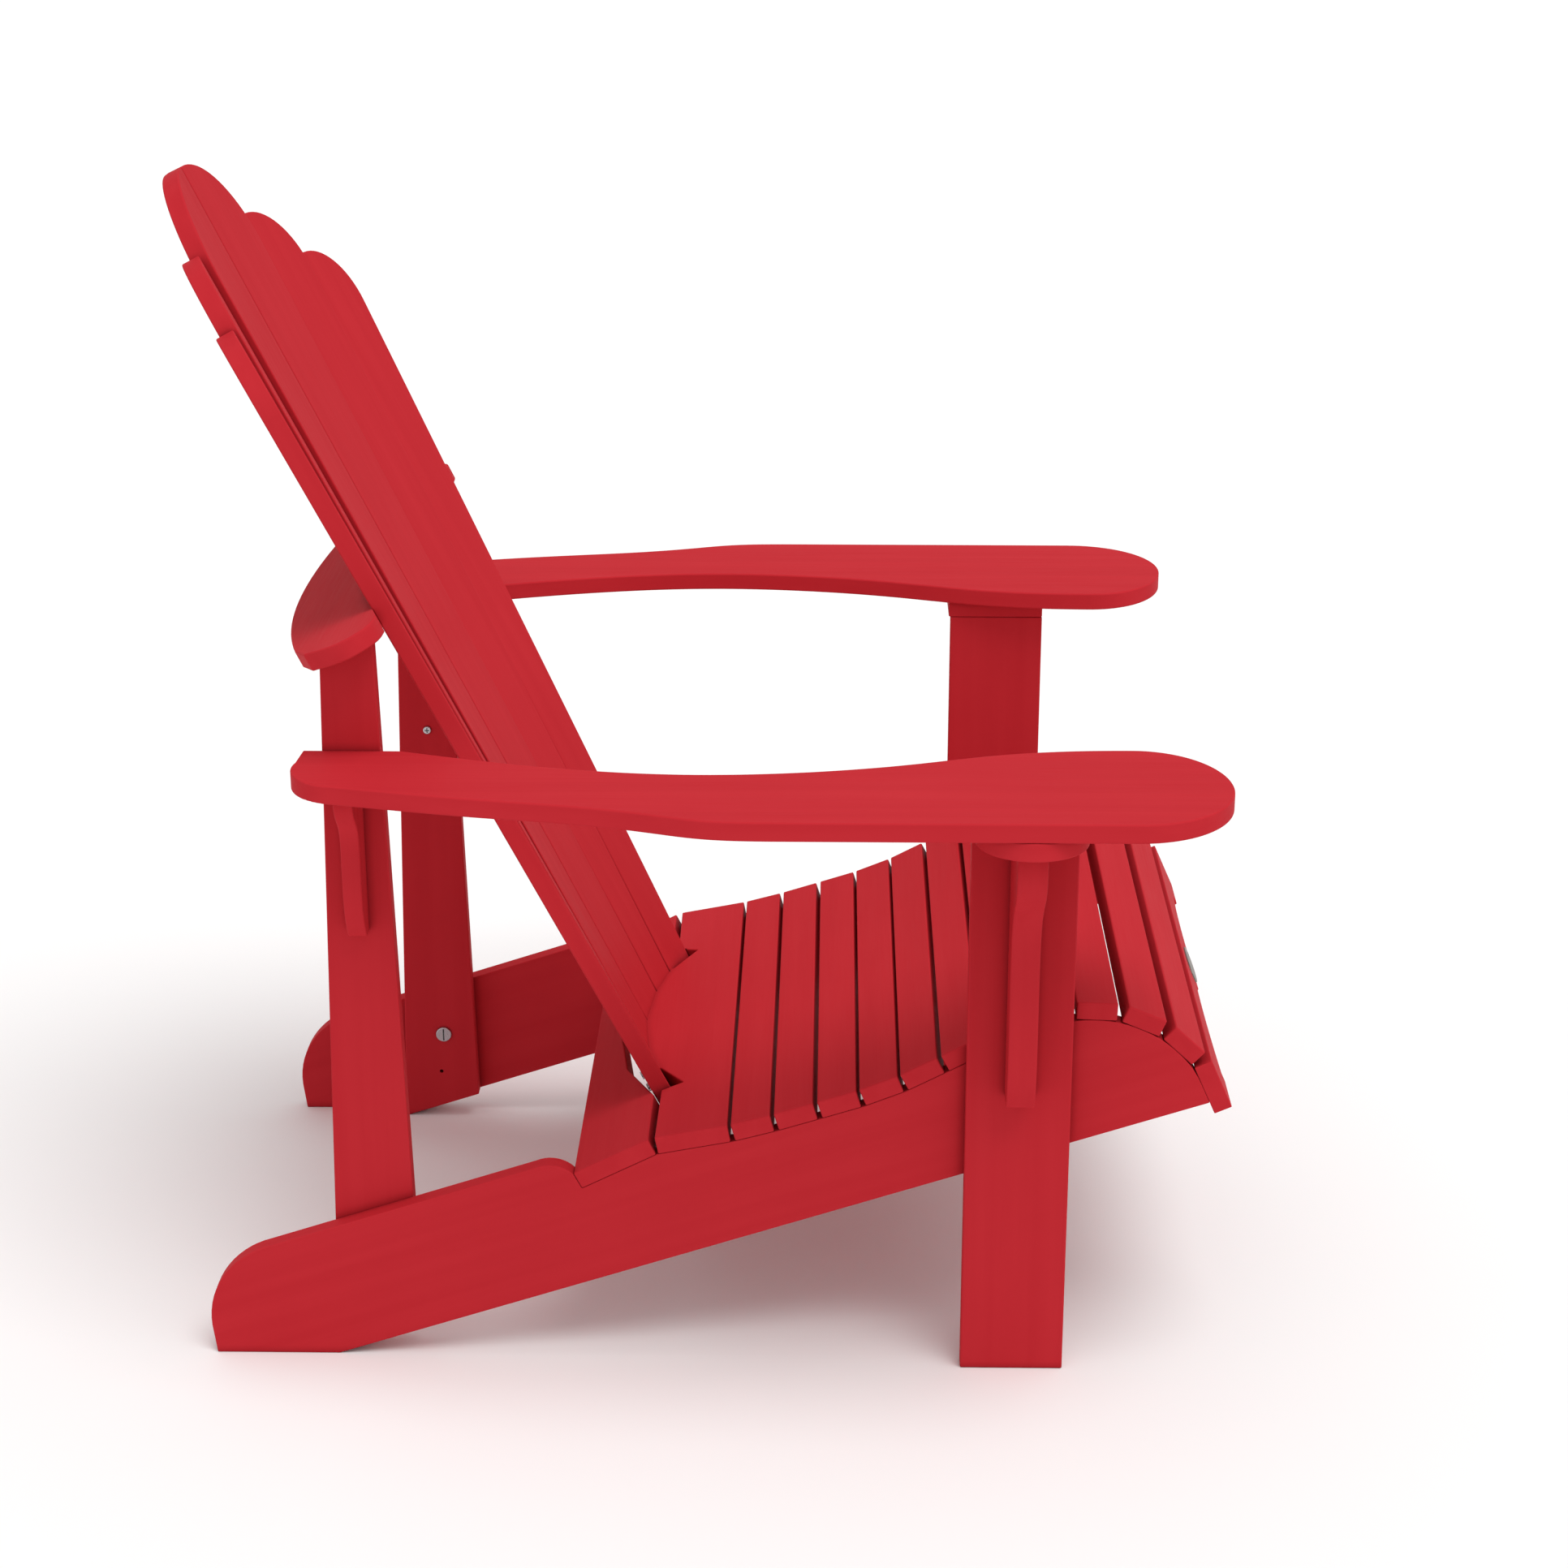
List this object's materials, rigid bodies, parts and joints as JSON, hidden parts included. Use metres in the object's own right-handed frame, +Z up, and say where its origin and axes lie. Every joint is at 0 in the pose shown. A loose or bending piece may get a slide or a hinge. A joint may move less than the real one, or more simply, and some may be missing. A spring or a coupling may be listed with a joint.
{
  "type": "adirondack chair",
  "caption": "Low garden armchair of solid plastic boards, with a reclined fanned slat back, a curved slat seat, wide flat arms and raked rails that run down into the rear feet.",
  "frame": {"origin": "floor level, under the middle of the chair's bounding box", "axes": "the chair faces -Y, +X is the sitter's left, +Z is up"},
  "size_m": [0.822, 0.9414, 1.0331],
  "materials": {
    "arm_lumber": "satin, fine lengthwise grain",
    "seat_lumber": "satin, fine lengthwise grain",
    "back_lumber": "satin, fine lengthwise grain",
    "upright_lumber": "satin, fine lengthwise grain",
    "stainless_steel": "turned, satin",
    "dowel_wood": "raw, hidden",
    "badge_metal": "brushed grey-brown plate"
  },
  "bodies": {
    "root": {"arm_plate_screws": "stainless_steel", "arm_screws": "stainless_steel", "back_dowels": "dowel_wood", "back_slat_1": "back_lumber", "back_slat_2": "back_lumber", "back_slat_3": "back_lumber", "back_slat_4": "back_lumber", "back_slat_5": "back_lumber", "back_slat_6": "back_lumber", "badge": "badge_metal", "front_apron": "seat_lumber", "front_bracket_screws": "stainless_steel", "left_arm": "arm_lumber", "left_arm_plate": "arm_lumber", "left_front_arm_bracket": "upright_lumber", "left_front_leg": "upright_lumber", "left_rear_arm_bracket": "upright_lumber", "left_rear_post": "upright_lumber", "left_side_rail": "arm_lumber", "leg_bolts": "stainless_steel", "lower_back_screws": "stainless_steel", "post_bolts": "stainless_steel", "post_dowels": "dowel_wood", "rear_arm_screws": "stainless_steel", "rear_bracket_screws": "stainless_steel", "rear_seat_board": "seat_lumber", "right_arm": "arm_lumber", "right_arm_plate": "arm_lumber", "right_front_arm_bracket": "upright_lumber", "right_front_leg": "upright_lumber", "right_rear_arm_bracket": "upright_lumber", "right_rear_post": "upright_lumber", "right_side_rail": "arm_lumber", "seat_dowels": "dowel_wood", "seat_slat_01": "seat_lumber", "seat_slat_02": "seat_lumber", "seat_slat_03": "seat_lumber", "seat_slat_04": "seat_lumber", "seat_slat_05": "seat_lumber", "seat_slat_06": "seat_lumber", "seat_slat_07": "seat_lumber", "seat_slat_08": "seat_lumber", "seat_slat_09": "seat_lumber", "seat_slat_10": "seat_lumber", "seat_slat_11": "seat_lumber", "seat_slat_12": "seat_lumber", "upper_back_brace": "seat_lumber"}
  },
  "joints": []
}
